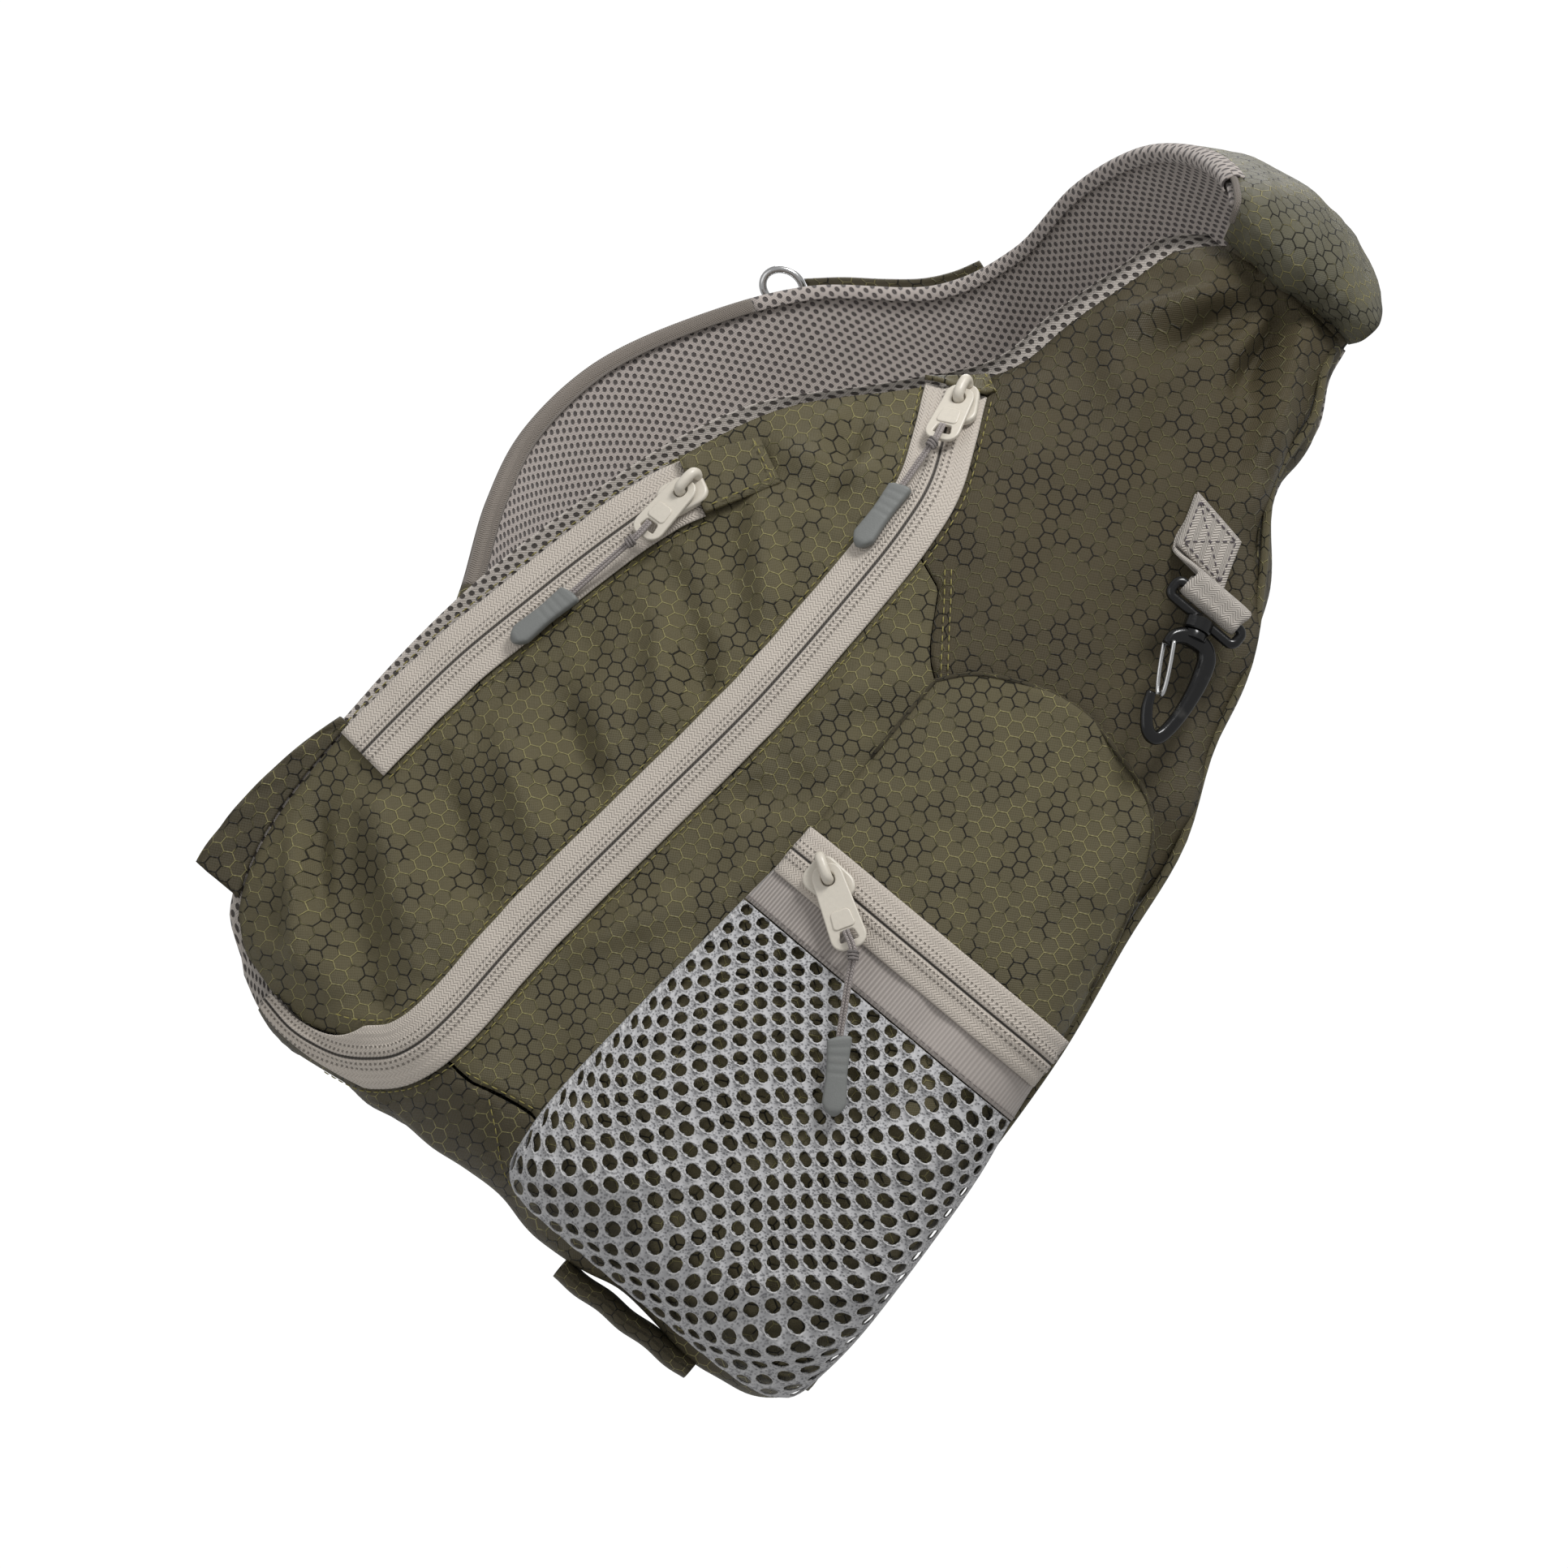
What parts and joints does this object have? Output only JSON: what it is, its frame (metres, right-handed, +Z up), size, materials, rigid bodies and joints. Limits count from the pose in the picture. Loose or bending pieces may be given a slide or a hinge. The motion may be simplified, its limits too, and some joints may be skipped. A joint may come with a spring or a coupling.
{
  "type": "sling pack",
  "caption": "Single-strap sling pack as worn: hollow olive cloth body with zips, a net front pocket, a snap hook and one wide padded shoulder strap.",
  "frame": {"origin": "middle of the strap's inner face where it sits on the shoulder", "axes": "+Z up as worn, -Y the pack's front, +X to the right of one who looks at the front; the pack's long axis leans 40 degrees from +Z towards +X"},
  "size_m": [0.4366, 0.2778, 0.4664],
  "materials": {
    "ripstop": "olive nylon with a hexagon ripstop grid, slight sheen",
    "spacer_mesh": "grey-taupe padded spacer mesh with round holes",
    "zip_tape": "light stone woven tape, matte",
    "zip_metal": "cream enamel, satin",
    "pull_cord": "braided grey cord",
    "pull_rubber": "soft grey rubber, matte, ribbed on one edge",
    "grosgrain": "ribbed grey tape",
    "net": "light grey warp-knit net with oval holes",
    "webbing": "light stone herringbone webbing",
    "binding": "grey-brown edge binding",
    "black_plastic": "moulded acetal, satin",
    "steel": "bright wire"
  },
  "bodies": {
    "pack": {"back_panel": "spacer_mesh", "lid_panel": "ripstop", "upper_panel": "ripstop", "centre_panel": "ripstop", "bottom_panel": "ripstop", "side_gusset": "ripstop", "pocket_panel": "ripstop", "pocket_binding": "grosgrain", "net_pocket": "net", "main_zip_tape": "zip_tape", "side_zip_tape": "zip_tape", "pocket_zip_tape": "zip_tape", "main_zip_garage": "ripstop", "side_zip_garage": "ripstop", "hook_ring": "black_plastic", "hook_webbing": "webbing", "strap_cover": "ripstop", "strap_pad": "spacer_mesh", "strap_binding": "binding", "strap_webbing": "ripstop", "strap_ring": "steel", "lower_webbing": "webbing", "lower_buckle": "black_plastic", "strap_wing": "ripstop", "bottom_tunnel": "ripstop", "main_zip_slider": "zip_metal", "main_zip_pull": "zip_metal", "main_pull_cord": "pull_cord", "main_pull_tab": "pull_rubber", "side_zip_slider": "zip_metal", "side_zip_pull": "zip_metal", "side_pull_cord": "pull_cord", "side_pull_tab": "pull_rubber", "pocket_zip_slider": "zip_metal", "pocket_zip_pull": "zip_metal", "pocket_pull_cord": "pull_cord", "pocket_pull_tab": "pull_rubber"},
    "hook": {"hook_body": "black_plastic"},
    "gate": {"hook_gate": "steel"}
  },
  "joints": [
    {"name": "hook_swivel", "type": "hinge", "parent": "pack", "child": "hook", "pos_m": [-0.02878, -0.12316, -0.15033], "axis": [0.3479, 0.2239, 0.9104], "continuous": true},
    {"name": "gate_hinge", "type": "hinge", "parent": "hook", "child": "gate", "pos_m": [-0.04024, -0.12922, -0.15826], "axis": [-0.4369, 0.8979, -0.0539], "range_deg": [-20, 0], "stiffness_Nm_per_rad": 0.004}
  ]
}
